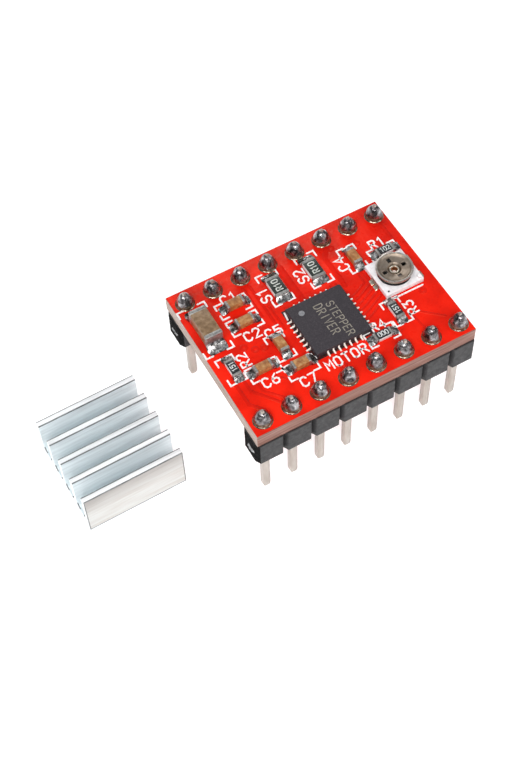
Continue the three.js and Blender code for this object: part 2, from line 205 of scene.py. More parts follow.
def solder_mask(name, dark, mid, light):
    n = Nodes(name, mid, 0.34, Specular_IOR_Level=0.2, Specular_Tint=(1.0, 0.62, 0.3, 1.0))
    n.paint(n.noise(2.4, 4), [(0.3, dark), (0.55, mid), (0.8, light)])
    n.rough(n.noise(0.5, 3), 0.24, 0.42)
    n.bump(n.weave(0.45), 0.006)
    n.bump(n.noise(0.35, 2), 0.008)
    return n.material


def laminate():
    """Glass cloth and resin seen edge on: pinkish brown on the edges that face along Y, whiter on the edges
    that face along X, partly from rough fibre and partly as painted light.
    """
    n = Nodes("laminate_edge", (0.4, 0.26, 0.23), 0.7)
    layers = n.noise(0.9, 5, stretch=(0.25, 0.25, 5.0))
    routed = [(0.3, (0.16, 0.06, 0.042)), (0.48, (0.235, 0.11, 0.08))]
    routed += [(0.62, (0.31, 0.165, 0.135)), (0.8, (0.4, 0.26, 0.23))]
    # Paler colours for the edges that face along X: partly rough fibre, partly painted light.
    x_facing_pale_and_lit = [(0.3, (0.35, 0.25, 0.2)), (0.48, (0.46, 0.35, 0.295)), (0.7, (0.6, 0.51, 0.46))]
    n.blend(n.sideways(), n.colors(layers, routed), n.colors(layers, x_facing_pale_and_lit))
    n.bump(layers, 0.02)
    n.bump(n.noise(0.1, 4), 0.012)
    return n.material


def solder(name, dark, mid, light, lump, depth):
    """Bright metal in swirled blotches about lump millimetres across."""
    grain = (lump, 4, (1, 1, 1), 0.8)
    stops = [(0.32, dark), (0.5, mid), (0.68, light)]
    return finish(name, mid, 0.28, 1.0, grain, stops, ((0.15, 3), 0.16, 0.42), ((lump * 0.8, 3), depth))


def brushed_face(name, lower_tone, upper_tone, streak, roughness, metallic, low, high):
    """Drawn aluminium: streaks along X, from one tone at the height low to another at the height high; the
    change with height is painted light and shade.
    """
    n = Nodes(name, lower_tone, roughness, metallic)
    lines = n.noise(0.5, 5, stretch=(0.1, 1, 1.4))
    bright = n.colors(lines, [(0.35, streak), (0.6, lower_tone)])
    dull = n.colors(lines, [(0.3, [c * 0.72 for c in upper_tone]), (0.65, upper_tone)])
    n.blend(n.level(low, high), bright, dull)
    n.rough(lines, roughness * 0.8, roughness * 1.25)
    n.bump(n.noise(0.12, 4, stretch=(0.08, 1, 1)), 0.006)
    return n.material


def ceramic(name, dark, mid, light, gloss=0.4, size=0.3):
    stops = [(0.3, dark), (0.5, mid), (0.72, light)]
    shine = ((size * 0.5, 3), gloss * 0.8, gloss * 1.25)
    return finish(name, mid, gloss, 0.0, (size, 4), stops, shine, ((size * 0.25, 4), 0.008))


def sheet_metal(name, dark, light, roughness, stretch=(1, 1, 1), size=0.2, depth=0.006):
    shine = ((size * 0.6, 4, stretch), roughness * 0.75, roughness * 1.3)
    relief = ((size * 0.4, 4, stretch), depth)
    return finish(name, light, roughness, 1.0, (size, 5, stretch), [(0.3, dark), (0.7, light)], shine, relief)


MASK = solder_mask("solder_mask_red", (0.56, 0.007, 0.003), (0.8, 0.012, 0.004), (0.92, 0.019, 0.006))
TRACK_MASK = solder_mask(
    "solder_mask_over_tracks", (0.5, 0.006, 0.003), (0.66, 0.009, 0.004), (0.78, 0.012, 0.005)
)
LEGEND = finish(
    "legend_white_ink", (0.86, 0.82, 0.8), 0.55, 0.0, (0.12, 3),
    [(0.3, (0.66, 0.55, 0.53)), (0.5, (0.9, 0.87, 0.85)), (0.8, (0.95, 0.94, 0.93))],
    relief=((0.08, 3), 0.006),
)
LAMINATE = laminate()
PLASTIC = finish(
    "header_plastic_grey", (0.04, 0.038, 0.039), 0.55, 0.0, (0.7, 4),
    [(0.3, (0.02, 0.019, 0.02)), (0.7, (0.037, 0.035, 0.036))],
    ((0.3, 3), 0.45, 0.65), ((0.06, 3), 0.008), Specular_IOR_Level=0.35,
)
BROKEN = finish(
    "header_plastic_broken", (0.006, 0.006, 0.006), 0.9, 0.0, (0.3, 5),
    [(0.35, (0.002, 0.002, 0.002)), (0.6, (0.006, 0.006, 0.006)), (0.75, (0.03, 0.03, 0.03))],
    relief=((0.16, 5), 0.09), Specular_IOR_Level=0.1,
)
NUB = ceramic("header_plastic_nub", (0.12, 0.12, 0.12), (0.34, 0.34, 0.34), (0.55, 0.55, 0.54), 0.7, 0.25)
PIN = finish(
    "pin_tin_plate", (0.56, 0.48, 0.41), 0.38, 0.8, (0.6, 4, (1, 1, 0.3)),
    [(0.3, (0.4, 0.345, 0.3)), (0.55, (0.47, 0.415, 0.37)), (0.8, (0.55, 0.505, 0.46))],
    ((0.2, 3, (1, 1, 0.2)), 0.28, 0.46), ((0.05, 3, (1, 1, 0.1)), 0.004),
)
JOINT = solder("solder_joint", (0.03, 0.025, 0.028), (0.2, 0.185, 0.19), (0.56, 0.55, 0.56), 0.45, 0.035)
FLUX = ceramic("solder_flux_stain", (0.03, 0.022, 0.012), (0.085, 0.06, 0.035), (0.22, 0.17, 0.13), 0.25, 0.3)
FLUX_GLOSS = finish(
    "solder_flux_ring", (0.2, 0.15, 0.1), 0.15, 0.85, (0.4, 3),
    [(0.3, (0.1, 0.07, 0.045)), (0.5, (0.22, 0.17, 0.12)), (0.75, (0.5, 0.45, 0.38))],
    ((0.6, 2), 0.12, 0.24),
)
FILLET = solder("solder_fillet", (0.03, 0.028, 0.028), (0.26, 0.25, 0.24), (0.9, 0.89, 0.87), 0.28, 0.035)
END_CAP = sheet_metal("end_cap_tin", (0.26, 0.255, 0.24), (0.5, 0.49, 0.46), 0.45, size=0.15)
MOULD = finish(
    "chip_mould_compound", (0.035, 0.033, 0.04), 0.6, 0.0, (0.09, 4),
    [(0.3, (0.018, 0.014, 0.018)), (0.55, (0.031, 0.0245, 0.03)), (0.75, (0.054, 0.044, 0.05))],
    relief=((0.05, 4), 0.012),
)
MARK = finish(
    "chip_laser_mark", (0.26, 0.23, 0.19), 0.7, 0.0, (0.06, 3),
    [(0.3, (0.17, 0.15, 0.12)), (0.7, (0.38, 0.34, 0.28))],
)
DOT = ceramic("chip_dimple", (0.15, 0.15, 0.16), (0.21, 0.21, 0.22), (0.27, 0.27, 0.28), 0.5, 0.1)
# The leads' tin as a matte near-white: partly the tin's own pale colour, partly a painted glint along each
# lead.
LEAD = ceramic("chip_lead_tin_painted_glint", (0.78, 0.7, 0.6), (0.92, 0.86, 0.78), (0.97, 0.94, 0.88), 0.3, 0.12)
# Near-black red for the band on the board round the chip: painted shadow of the chip body.
CHIP_SHADOW_BAND = ceramic(
    "chip_painted_shadow_band", (0.012, 0.006, 0.005), (0.03, 0.01, 0.008), (0.16, 0.014, 0.008), 0.3, 0.2
)
TAN = ceramic("capacitor_tan", (0.24, 0.09, 0.024), (0.37, 0.16, 0.05), (0.52, 0.3, 0.12))
OLIVE = ceramic("capacitor_olive", (0.14, 0.08, 0.035), (0.215, 0.13, 0.065), (0.3, 0.2, 0.11))
ALUMINA = ceramic("resistor_alumina", (0.6, 0.58, 0.55), (0.74, 0.72, 0.7), (0.82, 0.81, 0.8))
BLACK_GLAZE = ceramic("resistor_glaze", (0.01, 0.01, 0.011), (0.016, 0.017, 0.018), (0.028, 0.03, 0.03), 0.3)
GREEN_GLAZE = ceramic(
    "sense_resistor_glaze", (0.014, 0.018, 0.014), (0.025, 0.032, 0.025), (0.04, 0.05, 0.04), 0.3
)
CODE_WHITE = ceramic("resistor_code_white", (0.5, 0.52, 0.5), (0.68, 0.7, 0.68), (0.8, 0.82, 0.8), 0.5, 0.1)
CODE_GREY = ceramic("resistor_code_grey", (0.46, 0.48, 0.43), (0.62, 0.64, 0.58), (0.74, 0.76, 0.7), 0.5, 0.1)
PORCELAIN = ceramic("trimmer_porcelain", (0.7, 0.64, 0.64), (0.86, 0.82, 0.82), (0.92, 0.9, 0.9), 0.5, 0.5)
TRACK = ceramic("trimmer_track", (0.012, 0.012, 0.012), (0.02, 0.02, 0.02), (0.035, 0.035, 0.034), 0.4)
STEEL = sheet_metal("trimmer_steel", (0.24, 0.185, 0.14), (0.44, 0.36, 0.29), 0.42, size=0.5)
# A brighter copy of the trimmer steel for the rotor's rim edge: painted highlight.
RIM_HIGHLIGHT = sheet_metal("trimmer_rim_painted_highlight", (0.42, 0.38, 0.33), (0.66, 0.62, 0.56), 0.3, size=0.9, depth=0.001)
LIP = sheet_metal("trimmer_eyelet_lip", (0.5, 0.43, 0.32), (0.92, 0.86, 0.72), 0.28, size=0.3)
HOLLOW = sheet_metal("trimmer_eyelet_bore", (0.22, 0.09, 0.04), (0.5, 0.26, 0.13), 0.3, size=0.2)
BRASS = sheet_metal("trimmer_brass", (0.5, 0.28, 0.12), (0.86, 0.6, 0.32), 0.25, size=0.3)
COPPER = sheet_metal("chip_pad_tinned", (0.55, 0.5, 0.42), (0.8, 0.76, 0.68), 0.35)
SILICON = sheet_metal("chip_silicon", (0.08, 0.09, 0.12), (0.18, 0.2, 0.26), 0.12, size=0.4)
# The channel walls are paler low down and darker higher up: painted reflection of the bright floor in the
# lower walls.
FIN = brushed_face(
    "heat_sink_channels", (0.81, 0.88, 0.895), (0.84, 0.895, 0.915), (0.77, 0.84, 0.865), 0.45, 0.25, 1.0, 4.6
)
# Dark aluminium for the foot line, the end strips of the outer faces, the rounded fin corners and the
# channel-floor corners at the ends: painted shade.
FIN_EDGE_SHADE = sheet_metal("heat_sink_fin_edge_painted_shade", (0.12, 0.125, 0.125), (0.28, 0.29, 0.29), 0.45, (0.2, 1, 1), 0.2)
# A brighter copy of the aluminium for the fin tops: painted light on the faces that look up.
FIN_TOP_LIT = brushed_face(
    "heat_sink_fin_top_painted_light", (0.93, 0.94, 0.94), (0.93, 0.94, 0.94), (0.84, 0.86, 0.87), 0.5, 0.2, 4.0, 4.7
)
# The outer faces grow darker towards the top edge: painted shadow under the top edge.
SINK_SIDE_SHADED_TOP = brushed_face(
    "heat_sink_outer_face", (0.66, 0.66, 0.64), (0.45, 0.42, 0.4), (0.56, 0.53, 0.5), 0.45, 0.75, 2.4, 4.7
)
SAWN = sheet_metal(
    "heat_sink_sawn_end", (0.72, 0.74, 0.75), (0.94, 0.95, 0.95), 0.5, (1, 1, 0.15), 0.12, 0.02
)
TAPE = ceramic("thermal_tape_film", (0.3, 0.42, 0.52), (0.42, 0.55, 0.66), (0.55, 0.66, 0.75), 0.6, 0.4)

# ---- mesh building

# A stroke's rounded end: how far out and how wide, as shares of its width.
STROKE_END = [(0.25, 0.85), (0.5, 0.45)]
WIDEST_MITRE = 1.6


def new_object(name, data):
    made = bpy.data.objects.new(name, data)
    bpy.context.scene.collection.objects.link(made)
    return made


class Shape:
    """A mesh in millimetres; each face keeps the number of its material."""

    def __init__(self):
        self.bm = bmesh.new()

    def loft(self, rings, material=0, caps=True):
        """A skin through rings of equal numbers of points."""
        rows = [[self.bm.verts.new(Vector(p)) for p in ring] for ring in rings]
        faces = []
        count = len(rows[0])
        for lower, upper in zip(rows, rows[1:]):
            for i in range(count):
                j = (i + 1) % count
                faces.append(self.bm.faces.new((lower[i], lower[j], upper[j], upper[i])))
        if caps:
            faces.append(self.bm.faces.new(rows[0][::-1]))
            faces.append(self.bm.faces.new(rows[-1]))
        for face in faces:
            face.material_index = material
        return faces

    def prism(self, outline, bottom, top, material=0):
        return self.loft([[(x, y, z) for x, y in outline] for z in (bottom, top)], material)

    def block(self, low, high, bevel, segments=2, material=0):
        """A box with rounded edges."""
        outline = [(low[0], low[1]), (high[0], low[1]), (high[0], high[1]), (low[0], high[1])]
        faces = self.prism(outline, low[2], high[2], material)
        edges = list({edge for face in faces for edge in face.edges})
        rounding = {"offset": bevel, "segments": segments, "affect": "EDGES", "profile": 0.5}
        made = bmesh.ops.bevel(self.bm, geom=edges, **rounding)
        for face in made["faces"]:
            face.material_index = material

    def lathe(self, centre, profile, segments, material=0):
        """A solid of revolution about Z; profile is (radius, height) from the first end to the last."""
        turns = [2 * math.pi * i / segments for i in range(segments)]
        rings = []
        for radius, height in profile:
            ring = [Vector((radius * math.cos(t), radius * math.sin(t), height)) for t in turns]
            rings.append([Vector(centre) + point for point in ring])
        self.loft(rings, material)

    def spin(self, centre, profile, segments, materials):
        """A ring: a closed profile of (radius, height) turned about Z, with a material for each edge."""
        rings = []
        for i in range(segments + 1):
            angle = 2 * math.pi * i / segments
            out = Vector((math.cos(angle), math.sin(angle), 0))
            rings.append([centre + out * radius + UP * height for radius, height in profile])
        for index, face in enumerate(self.loft(rings, caps=False)):
            face.material_index = materials[index % len(profile)]
        bmesh.ops.remove_doubles(self.bm, verts=self.bm.verts, dist=1e-5)

    def ribbon(self, path, width, bottom, top, material=0, slope=0.0):
        """A flat stroke along points in a plane, with rounded ends and mitred corners."""
        points = [Vector((x, y)) for x, y in path]
        first = (points[1] - points[0]).normalized()
        last = (points[-1] - points[-2]).normalized()
        stations = [(points[0] - first * width * out, first, wide) for out, wide in reversed(STROKE_END)]
        for i, point in enumerate(points):
            before = (point - points[i - 1]).normalized() if i else first
            after = (points[i + 1] - point).normalized() if i < len(points) - 1 else last
            along = (before + after).normalized()
            stations.append((point, along, min(1.0 / max(along.dot(after), 0.4), WIDEST_MITRE)))
        stations += [(points[-1] + last * width * out, last, wide) for out, wide in STROKE_END]
        rings = []
        for point, along, wide in stations:
            across = Vector((-along.y, along.x)) * width * 0.5 * wide
            inner = across * (1.0 - slope)
            corners = [(point - across, bottom), (point + across, bottom)]
            corners += [(point + inner, top), (point - inner, top)]
            rings.append([(p.x, p.y, z) for p, z in corners])
        self.loft(rings, material)

    def turn(self, centre, degrees):
        """Turns the whole shape about an upright line through centre."""
        turned = Matrix.Rotation(math.radians(degrees), 3, "Z")
        bmesh.ops.rotate(self.bm, verts=self.bm.verts, cent=Vector(centre), matrix=turned)

    def piece(self, name, materials, slot=None, replaces=(), body="driver_board", bevel=0.0, smooth=35.0):
        """Makes the shape an object that rides a body, and hides the CAD nodes that it replaces."""
        bmesh.ops.recalc_face_normals(self.bm, faces=self.bm.faces)
        bmesh.ops.scale(self.bm, verts=self.bm.verts, vec=(MM, MM, MM))
        mesh = bpy.data.meshes.new(name)
        self.bm.to_mesh(mesh)
        self.bm.free()
        for material in materials:
            mesh.materials.append(material)
        mesh.shade_smooth()
        mesh.set_sharp_from_angle(angle=math.radians(smooth))
        piece = new_object(name, mesh)
        if bevel:
            rounding = piece.modifiers.new("rounding", "BEVEL")
            rounding.width = bevel * MM
            rounding.segments = 3
            rounding.limit_method = "ANGLE"
            rounding.angle_limit = math.radians(smooth)
            rounding.harden_normals = True
        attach(piece, body)
        if replaces:
            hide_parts(*replaces)
        return piece


def arc(x, y, radius, start, end, count):
    """Points on an arc round (x, y), from the angle start to the angle end in degrees."""
    steps = [math.radians(start + (end - start) * i / count) for i in range(count + 1)]
    return [(x + radius * math.cos(t), y + radius * math.sin(t)) for t in steps]


# ---- lettering

# The strokes of each character: points in hundredths of its height, with a slash between two strokes.
GLYPHS = {
    "0": "15,0 45,0 60,20 60,80 45,100 15,100 0,80 0,20 15,0",
    "1": "12,80 34,100 34,0",
    "2": "0,82 15,100 45,100 60,82 60,62 0,0 60,0",
    "3": "2,100 60,100 30,60 48,58 60,42 60,18 45,0 15,0 0,16",
    "4": "60,30 0,30 46,100 46,0",
    "5": "58,100 6,100 2,58 42,62 60,45 60,18 45,0 15,0 0,14",
    "6": "50,100 20,78 2,45 0,18 15,0 45,0 60,18 60,38 45,54 10,54",
    "7": "0,100 60,100 22,0",
    "C": "60,82 45,100 17,100 0,80 0,20 17,0 45,0 60,18",
    "D": "0,0 0,100 36,100 60,76 60,24 36,0 0,0",
    "E": "58,100 0,100 0,0 58,0 / 0,52 42,52",
    "I": "30,0 30,100",
    "M": "0,0 0,100 30,45 60,100 60,0",
    "P": "0,0 0,100 45,100 60,86 60,60 45,46 0,46",
    "R": "0,0 0,100 45,100 60,86 60,64 45,50 0,50 / 30,50 60,0",
    "S": "60,84 45,100 15,100 0,84 0,66 15,52 45,48 60,34 60,16 45,0 15,0 0,16",
    "T": "0,100 60,100 / 30,100 30,0",
    "V": "0,100 30,0 60,100",
}
GLYPHS["O"] = GLYPHS["0"]
CELL_WIDTH = 0.6


def strokes(character):
    """The strokes of a character, in shares of its height."""
    for stroke in GLYPHS[character].split(" / "):
        yield [[int(number) / 100 for number in point.split(",")] for point in stroke.split()]


def letter(shape, text, place, height, stroke, bottom, top, degrees, material=0, gap=0.32, squeeze=1.0):
    """Writes text centred on a place in the plane; degrees turns it anticlockwise."""
    turned = Matrix.Rotation(math.radians(degrees), 2)
    advance = (CELL_WIDTH * squeeze + gap) * height
    width = advance * len(text) - gap * height
    for i, glyph in enumerate(text):
        for points in strokes(glyph):
            path = []
            for x, y in points:
                local = Vector((i * advance - width / 2 + x * squeeze * height, (y - 0.5) * height))
                path.append(turned @ local + Vector((place.x, place.y)))
            shape.ribbon(path, stroke, bottom, top, material)


# ---- board

MASK_THICKNESS = 0.03
MASK_INSET = 0.02
MASK_ROUND = 0.012
MASK_TOP = TOP + MASK_THICKNESS
MASK_UNDER = UNDER - MASK_THICKNESS
INK = 0.045
STROKE = 0.14
TRACK_RELIEF = 0.035
UNDER_TRACK_RELIEF = 0.022
SUNK = 0.01  # how far printed and raised things reach into what they stand on
VIA_TOP = [(0.36, -0.01), (0.34, 0.015), (0.26, 0.024), (0.18, 0.02), (0.1, 0.0), (0.04, -0.006)]
VIA_UNDER = [(0.36, 0.01), (0.34, -0.015), (0.24, -0.024), (0.12, -0.008)]
HEAT_PAD_HALF = 2.2
HEAT_PAD_THICKNESS = 0.05
HEAT_PAD_VIA = [(0.26, -0.04), (0.24, -0.075), (0.17, -0.085), (0.1, -0.06)]

# Tracks under the mask: (x, y) points from the middle of the pin rows, and a width.
TRACKS = [
    ([(-9.1, -1.9), (-9.1, -4.6), (-8.3, -5.6)], 0.35),
    ([(-8.4, -1.9), (-8.4, -3.6), (-6.9, -5.6)], 0.3),
    ([(-7.6, -2.6), (-7.6, -4.0), (-6.4, -5.4)], 0.25),
    ([(-3.6, 0.6), (-3.6, 5.3)], 0.3),
    ([(-3.2, 0.2), (-3.2, 2.6)], 0.25),
    ([(-0.6, 1.8), (-0.6, 5.6)], 0.7),
    ([(3.1, 1.4), (3.1, 4.6), (3.7, 5.4)], 0.5),
    ([(2.9, -0.9), (3.5, -0.7), (5.2, 0.15)], 0.22),
    ([(2.9, -1.4), (3.5, -1.2), (5.2, -0.35)], 0.22),
    ([(2.9, -1.9), (3.5, -1.7), (5.1, -0.9)], 0.22),
    ([(2.9, -2.4), (3.5, -2.2), (4.6, -1.65)], 0.22),
    ([(2.9, -0.4), (3.5, -0.2), (5.0, 0.55), (5.0, 1.5)], 0.22),
    ([(2.9, 0.1), (3.5, 0.3), (4.6, 0.85), (4.6, 1.7)], 0.22),
    ([(6.4, -3.4), (8.4, -5.2)], 0.25),
    ([(6.2, -3.9), (6.4, -5.6)], 0.25),
    ([(4.6, -4.7), (3.9, -5.5)], 0.25),
    ([(-4.8, 2.2), (-4.2, 2.2), (-4.2, 5.2)], 0.35),
    ([(-6.1, -3.3), (-3.9, -5.6)], 0.25),
    ([(8.9, 0.4), (8.9, 5.3)], 0.4),
]
VIAS = [(-6.2, -0.4), (-5.5, -0.6), (-6.9, 0.2), (4, 5.2), (6.1, 4.6), (8.2, -2.2), (-1, -5.2), (2.3, 1.9)]


def mask_plate(bottom, top):
    """A sheet of solder mask, set in a little from the board's edges."""
    plate = Shape()
    low = (BOARD_LOW.x + MASK_INSET, BOARD_LOW.y + MASK_INSET, bottom)
    high = (BOARD_HIGH.x - MASK_INSET, BOARD_HIGH.y - MASK_INSET, top)
    plate.block(low, high, MASK_ROUND)
    return plate


def on_board(points):
    """Points measured from the middle of the pin rows, as (x, y) in the frame."""
    return [(at(x, y).x, at(x, y).y) for x, y in points]


def add_tracks():
    relief = Shape()
    for points, width in TRACKS:
        relief.ribbon(on_board(points), width, MASK_TOP - SUNK, MASK_TOP + TRACK_RELIEF, slope=0.3)
    for x, y in VIAS:
        relief.lathe(at(x, y, MASK_THICKNESS), VIA_TOP, 24)
    relief.piece("board_track_relief", [TRACK_MASK], "solder_mask", smooth=60)


# Corner marks round each small part: low x, low y, high x, high y from the middle of the pin rows.
MARKED = [
    (-9.95, 0.7, -7.5, 5.75),
    (-7.05, 3.35, -4.35, 4.85),
    (-7.05, 1.45, -4.35, 2.95),
    (4.25, 2.05, 5.8, 4.7),
    (-5.15, -2.45, -3.6, 0.12),
    (-7.9, -3.15, -5.25, -1.75),
    (-5.25, -4.45, -2.65, -3.0),
    (6.35, 2.0, 8.85, 3.35),
    (-9.5, -2.45, -8.05, 0.15),
    (4.5, -4.2, 6.05, -1.65),
    (1.75, -5.0, 4.35, -3.55),
    (-2.8, 2.35, -1.0, 5.7),
    (0.8, 2.35, 2.65, 5.75),
]
LINES = [
    [(5.3, -1.73), (8.5, -1.73)],
    [(-2.5, 1.45), (-2.6, 0.75)],
    [(-2.85, -2.85), (-2.45, -3.5)],
    [(2.85, -2.9), (3.0, -3.3)],
]
# Labels: text, x and y of its middle, height, and degrees anticlockwise.
LABELS = [
    ("C1", -5.65, 5.03, 0.85, 0),
    ("C2", -5.72, 0.95, 0.85, 0),
    ("C5", -4.14, 0.33, 0.85, 0),
    ("C6", -6.6, -3.55, 0.85, 0),
    ("C7", -4.0, -4.95, 0.85, 0),
    ("R1", 7.55, 3.79, 0.8, 0),
    ("R4", 3.27, -3.3, 0.75, 0),
    ("S1", -3.05, 3.78, 0.85, 90),
    ("S2", 0.5, 3.95, 0.85, 90),
    ("C4", 3.95, 3.35, 0.85, 90),
    ("R2", -7.5, -0.85, 0.8, 90),
    ("R3", 6.46, -3.13, 0.8, 90),
    ("MOTOR", -0.4, -4.62, 0.85, 0),
]
MARK_LEG = 0.58


def add_legend():
    """White ink: the corner marks, four short lines and the labels."""
    ink = Shape()
    bottom, top = MASK_TOP - SUNK, MASK_TOP + INK
    corners = []
    for x0, y0, x1, y1 in MARKED:
        leg_x = min(MARK_LEG, (x1 - x0) * 0.38)
        leg_y = min(MARK_LEG, (y1 - y0) * 0.3)
        for x, toward_x in ((x0, leg_x), (x1, -leg_x)):
            for y, toward_y in ((y0, leg_y), (y1, -leg_y)):
                corners.append([(x + toward_x, y), (x, y), (x, y + toward_y)])
    for points in corners + LINES:
        ink.ribbon(on_board(points), STROKE, bottom, top)
    for text, x, y, height, degrees in LABELS:
        letter(ink, text, at(x, y), height, STROKE, bottom, top, degrees)
    ink.piece("board_legend", [LEGEND], "solder_mask")


def add_underside():
    """Solder mask, vias and tracks on the side that faces down."""
    plate = mask_plate(MASK_UNDER, UNDER)
    for spot in [at(x, y) for x in (-6.2, -4.6, 3.8, 5.6, 7.4) for y in (-2.8, 0.2, 3.1)]:
        plate.lathe((spot.x, spot.y, MASK_UNDER), VIA_UNDER, 20)
    for x in (-7.6, -5.4, -3.4, 4.6, 6.6):
        path = on_board([(x, -4.6), (x + 0.8, 0), (x + 0.8, 4.6)])
        plate.ribbon(path, 0.35, MASK_UNDER - UNDER_TRACK_RELIEF, MASK_UNDER + SUNK, slope=-0.5)
    plate.piece("board_mask_under", [MASK], "solder_mask", smooth=60)


def add_heat_pad():
    """The tinned pad under the chip, with sixteen vias, on the side that faces down."""
    chip = middle("chip_body")
    pad = Shape()
    low = (chip.x - HEAT_PAD_HALF, chip.y - HEAT_PAD_HALF, MASK_UNDER - HEAT_PAD_THICKNESS)
    pad.block(low, (chip.x + HEAT_PAD_HALF, chip.y + HEAT_PAD_HALF, MASK_UNDER + SUNK), 0.02)
    for i in range(4):
        for j in range(4):
            pad.lathe((chip.x + i - 1.5, chip.y + j - 1.5, MASK_UNDER), HEAT_PAD_VIA, 20)
    pad.piece("board_heat_pad", [FILLET], "copper_pad", smooth=50)


# ---- headers

NOTCH_WIDTH = 0.25
NOTCH_DEPTH = 0.45
LEFT_LOSS = 0.05  # how much of the end blocks broke away with the rest of the strip
RIGHT_LOSS = 0.2
SCAR_HALF = (0.82, 1.22)  # half the broken face's width and height
SCAR_REACH = 0.09
SLIVER_HALF = (0.5, 0.14)  # a pale sliver that stands on the left broken face
NUB_HALF = (0.26, 0.35)  # a dark nub that stands on the right one
NUB_REACH = 0.19
SCAR_POINTS = 9
SCAR_EDGE = 0.012
SCAR_BACK = 0.08


def add_strip(row, rng):
    """The moulding of one header row: octagonal blocks, with rough ends where it was snapped off."""
    node = f"header_strip_{row}"
    low, high = box_mm(node)
    centre = middle(node)
    left = centre.x - PINS_PER_ROW / 2 * PITCH
    spans = [[left + i * PITCH, left + (i + 1) * PITCH] for i in range(PINS_PER_ROW)]
    spans[0][0] += LEFT_LOSS
    spans[-1][1] -= RIGHT_LOSS
    outline = [(spans[0][0], low.y + NOTCH_DEPTH)]
    for start, end in spans:
        outline += [(start + NOTCH_WIDTH, low.y), (end - NOTCH_WIDTH, low.y), (end, low.y + NOTCH_DEPTH)]
    for start, end in reversed(spans):
        outline += [(end, high.y - NOTCH_DEPTH), (end - NOTCH_WIDTH, high.y), (start + NOTCH_WIDTH, high.y)]
    outline.append((spans[0][0], high.y - NOTCH_DEPTH))
    seen = []
    for point in outline:
        if point not in seen:
            seen.append(point)
    shape = Shape()
    for face in shape.prism(seen, low.z, high.z):
        x = face.calc_center_median().x
        if x < spans[0][0] + NOTCH_WIDTH or x > spans[-1][1] - NOTCH_WIDTH:
            face.material_index = 1
    shape.piece(f"{node}_moulding", [PLASTIC, BROKEN], "header_plastic", (node,), bevel=0.05)
    scar = Shape()
    ends = (spans[0][0], spans[-1][1])
    for side, face in zip((-1, 1), ends):
        add_scar(scar, Vector((face, centre.y, centre.z)), side, SCAR_HALF, SCAR_REACH, 0, rng)
    add_scar(scar, Vector((ends[0], centre.y - 0.25, centre.z + 0.05)), -1, SLIVER_HALF, NUB_REACH, 1, rng)
    add_scar(scar, Vector((ends[1], centre.y, centre.z + 0.4)), 1, NUB_HALF, NUB_REACH, 0, rng)
    scar.piece(f"{node}_broken_ends", [BROKEN, NUB], "header_plastic", smooth=25)


def add_scar(shape, place, side, half, most, material, rng):
    """A jagged patch that stands up to most millimetres out of the end of a strip."""
    last = SCAR_POINTS - 1
    rows = []
    for i in range(SCAR_POINTS):
        row = []
        for j in range(SCAR_POINTS):
            u = 2 * i / last - 1
            v = 2 * j / last - 1
            edge = max(abs(u), abs(v)) == 1
            reach = SCAR_EDGE if edge else most * rng.uniform(0.25, 1.0) * (1 - 0.3 * u * u)
            y = place.y + u * half[0] * rng.uniform(0.94, 1.02)
            z = place.z + v * half[1] * rng.uniform(0.94, 1.02)
            row.append(shape.bm.verts.new((place.x + side * reach, y, z)))
        rows.append(row)
    behind = place.x - side * SCAR_BACK
    back = [[shape.bm.verts.new((behind, v.co.y, v.co.z)) for v in row] for row in rows]
    made = []
    for grid in (rows, back):
        for a, b in zip(grid, grid[1:]):
            for j in range(last):
                made.append(shape.bm.faces.new((a[j], a[j + 1], b[j + 1], b[j])))
    rim = [(i, 0) for i in range(last)] + [(last, j) for j in range(last)]
    rim += [(last - i, last) for i in range(last)] + [(0, last - j) for j in range(last)]
    for (i, j), (k, m) in zip(rim, rim[1:] + rim[:1]):
        made.append(shape.bm.faces.new((rows[i][j], rows[k][m], back[k][m], back[i][j])))
    for face in made:
        face.material_index = material


# A pin's ends: (distance from the end, share of the full half-width).
PIN_TIP = [(0.0, 0.5), (0.1, 0.66), (0.28, 0.88), (0.48, 1.0)]
PIN_SOLDERED_END = [(0.0, 0.28), (0.05, 0.36), (0.3, 0.5), (0.75, 0.85), (1.1, 1.0)]
PIN_FLAT = 0.72  # the flat share of each side between the rounded corners


def add_pin(label, rng):
    """A square pin with softly rounded corners; its upper end narrows inside the solder."""
    node = f"header_pin_{label}"
    low, high = box_mm(node)
    centre = middle(node)
    half = (high.x - low.x) / 2
    heights = [(low.z + d, s) for d, s in PIN_TIP] + [(high.z - d, s) for d, s in reversed(PIN_SOLDERED_END)]
    lean = rng.uniform(-0.02, 0.02)
    rings = []
    for z, scale in heights:
        r = half * scale
        c = r * PIN_FLAT
        slip = lean * (z - low.z) / (high.z - low.z)
        corners = [(-c, -r), (c, -r), (r, -c), (r, c), (c, r), (-c, r), (-r, c), (-r, -c)]
        rings.append([(centre.x + x + slip, centre.y + y, z) for x, y in corners])
    shape = Shape()
    shape.loft(rings)
    shape.piece(f"{node}_plated", [PIN], "tinned_pin", (node,), smooth=50)


# A solder joint's outline and the wetted ring round its foot: (radius, height above the mask).
CONE = [(0.76, -0.02), (0.755, 0.03), (0.745, 0.12), (0.72, 0.26), (0.685, 0.41), (0.63, 0.58), (0.56, 0.76)]
CONE += [(0.485, 0.92), (0.41, 1.05), (0.33, 1.16), (0.24, 1.24), (0.13, 1.29), (0.03, 1.3)]
FLUX_RING = [(0.835, -0.02), (0.825, 0.0), (0.8, 0.027), (0.773, 0.053), (0.745, 0.078)]
FLUX_RING += [(0.72, 0.09), (0.66, 0.09)]
CONE_WETTED = 4  # how many of the cone's lowest bands are covered by flux
CONE_SIDES = 36


